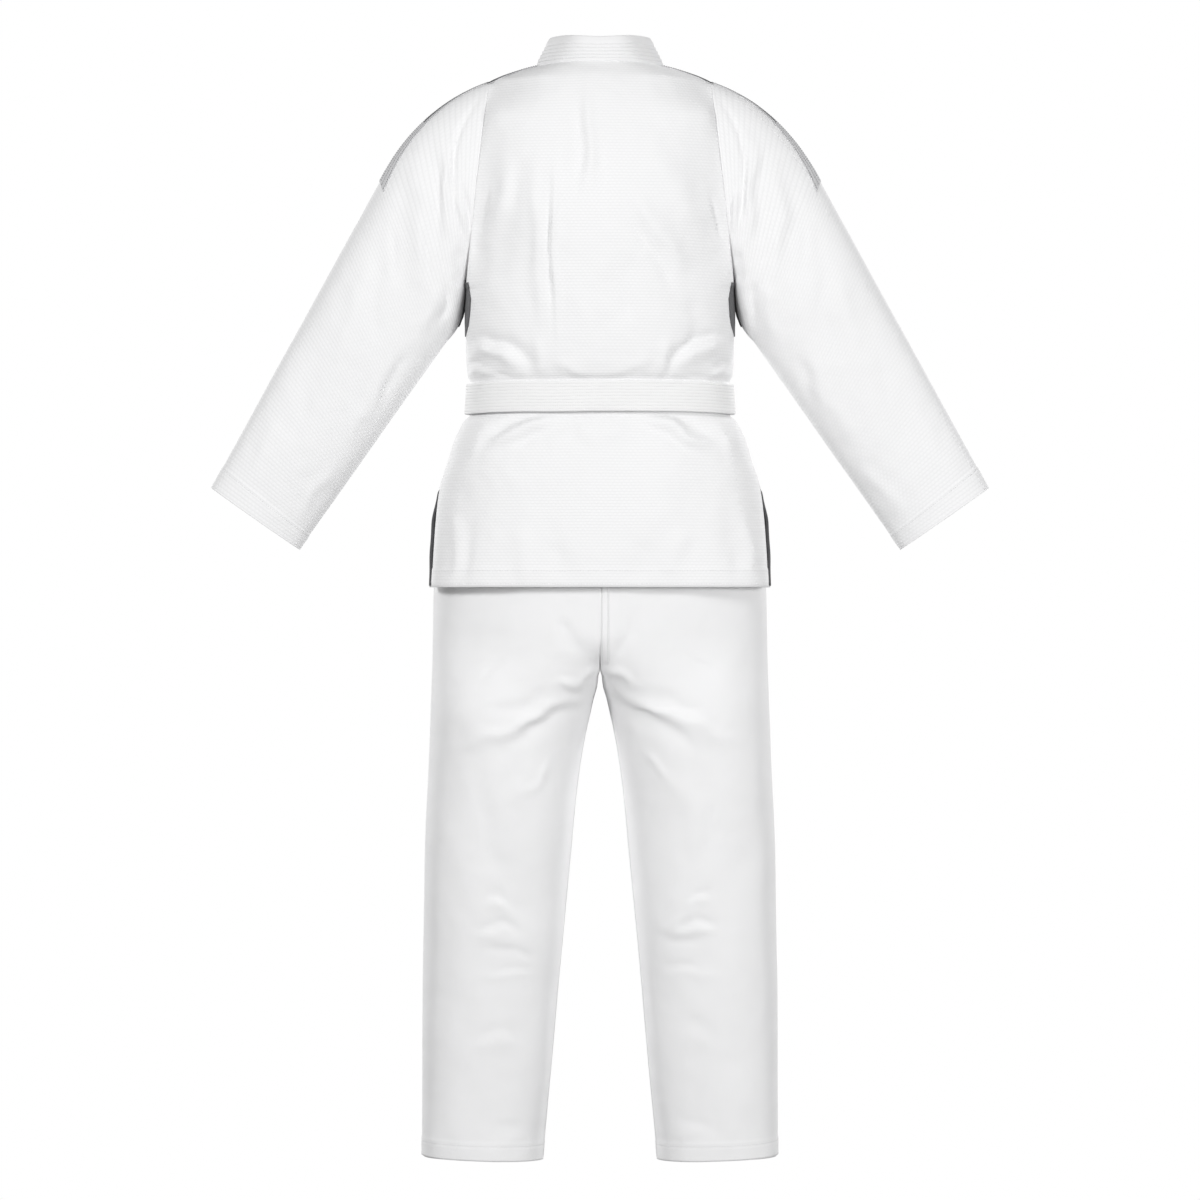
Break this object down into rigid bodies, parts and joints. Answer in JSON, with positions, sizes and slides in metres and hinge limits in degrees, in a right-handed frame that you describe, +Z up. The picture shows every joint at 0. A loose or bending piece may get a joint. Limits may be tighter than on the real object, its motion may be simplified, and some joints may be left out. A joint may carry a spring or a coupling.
{
  "type": "martial arts uniform",
  "caption": "Crossed cotton jacket with a stiff collar, contrast shoulder bands and vents, a knotted belt, and loose drawstring trousers, standing as if worn.",
  "frame": {"origin": "centre of the neck opening, level with the tops of the shoulders", "axes": "+Z up, +Y out of the back, +X to the wearer's left"},
  "size_m": [1.0876, 0.2679, 1.5755],
  "materials": {
    "pearl_weave": "matte ribbed pearl weave",
    "collar_drill": "matte cotton drill, quilted in close rows",
    "collar_foam": "foamed strip inside the collar",
    "hem_tape": "matte cotton tape",
    "shoulder_band": "grey cotton band",
    "vent_tape": "dark grey herringbone tape",
    "gusset_drill": "grey cotton drill",
    "belt_cotton": "matte cotton stitched in close rows",
    "trouser_drill": "smooth cotton twill"
  },
  "bodies": {
    "jacket": {"jacket_back_panel": "pearl_weave", "jacket_left_front": "pearl_weave", "jacket_right_front": "pearl_weave", "collar_cover": "collar_drill", "collar_core": "collar_foam", "back_yoke_lining": "hem_tape", "left_shoulder_band": "shoulder_band", "right_shoulder_band": "shoulder_band", "left_vent_tape": "vent_tape", "right_vent_tape": "vent_tape", "left_underarm_gusset": "gusset_drill", "right_underarm_gusset": "gusset_drill", "left_front_hem_tape": "hem_tape", "right_front_hem_tape": "hem_tape", "belt_inner_wrap": "belt_cotton", "belt_outer_wrap": "belt_cotton", "belt_knot": "belt_cotton"},
    "back_tail": {"jacket_back_tail": "pearl_weave", "back_hem_tape": "hem_tape"},
    "left_sleeve": {"left_sleeve": "pearl_weave", "left_sleeve_band": "shoulder_band", "left_cuff_tape": "hem_tape", "left_sleeve_gusset": "gusset_drill"},
    "right_sleeve": {"right_sleeve": "pearl_weave", "right_sleeve_band": "shoulder_band", "right_cuff_tape": "hem_tape", "right_sleeve_gusset": "gusset_drill"},
    "left_belt_end": {"belt_left_end": "belt_cotton"},
    "right_belt_end": {"belt_right_end": "belt_cotton"},
    "trousers": {"trousers_waistband": "trouser_drill", "drawstring_loops": "trouser_drill", "left_seat_panel": "trouser_drill", "right_seat_panel": "trouser_drill", "crotch_gusset": "trouser_drill", "back_rise_strip": "trouser_drill", "front_rise_strip": "trouser_drill"},
    "left_leg": {"left_leg_front": "trouser_drill", "left_leg_back": "trouser_drill", "left_knee_patch": "trouser_drill", "left_leg_hem_tape": "hem_tape"},
    "right_leg": {"right_leg_front": "trouser_drill", "right_leg_back": "trouser_drill", "right_knee_patch": "trouser_drill", "right_leg_hem_tape": "hem_tape"}
  },
  "joints": [
    {"name": "left_shoulder", "type": "hinge", "parent": "jacket", "child": "left_sleeve", "pos_m": [0.155, 0, -0.029], "axis": [0, -1, 0], "range_deg": [0, 60]},
    {"name": "right_shoulder", "type": "hinge", "parent": "jacket", "child": "right_sleeve", "pos_m": [-0.155, 0, -0.029], "axis": [0, 1, 0], "range_deg": [0, 60]},
    {"name": "tail_lift", "type": "hinge", "parent": "jacket", "child": "back_tail", "pos_m": [0, 0.1192, -0.5941], "axis": [1, 0, 0], "range_deg": [0, 60]},
    {"name": "left_end_swing", "type": "hinge", "parent": "jacket", "child": "left_belt_end", "pos_m": [0.0219, -0.128, -0.4943], "axis": [-1, 0, 0], "range_deg": [0, 70]},
    {"name": "right_end_swing", "type": "hinge", "parent": "jacket", "child": "right_belt_end", "pos_m": [-0.0219, -0.128, -0.4943], "axis": [-1, 0, 0], "range_deg": [0, 70]},
    {"name": "trousers_slide", "type": "slide", "parent": "jacket", "child": "trousers", "axis": [0, 0, -1], "range_m": [0, 0.25]},
    {"name": "left_hip", "type": "hinge", "parent": "trousers", "child": "left_leg", "pos_m": [0, 0, -0.748], "axis": [-1, 0, 0], "range_deg": [-15, 35]},
    {"name": "right_hip", "type": "hinge", "parent": "trousers", "child": "right_leg", "pos_m": [0, 0, -0.748], "axis": [-1, 0, 0], "range_deg": [-15, 35]}
  ]
}
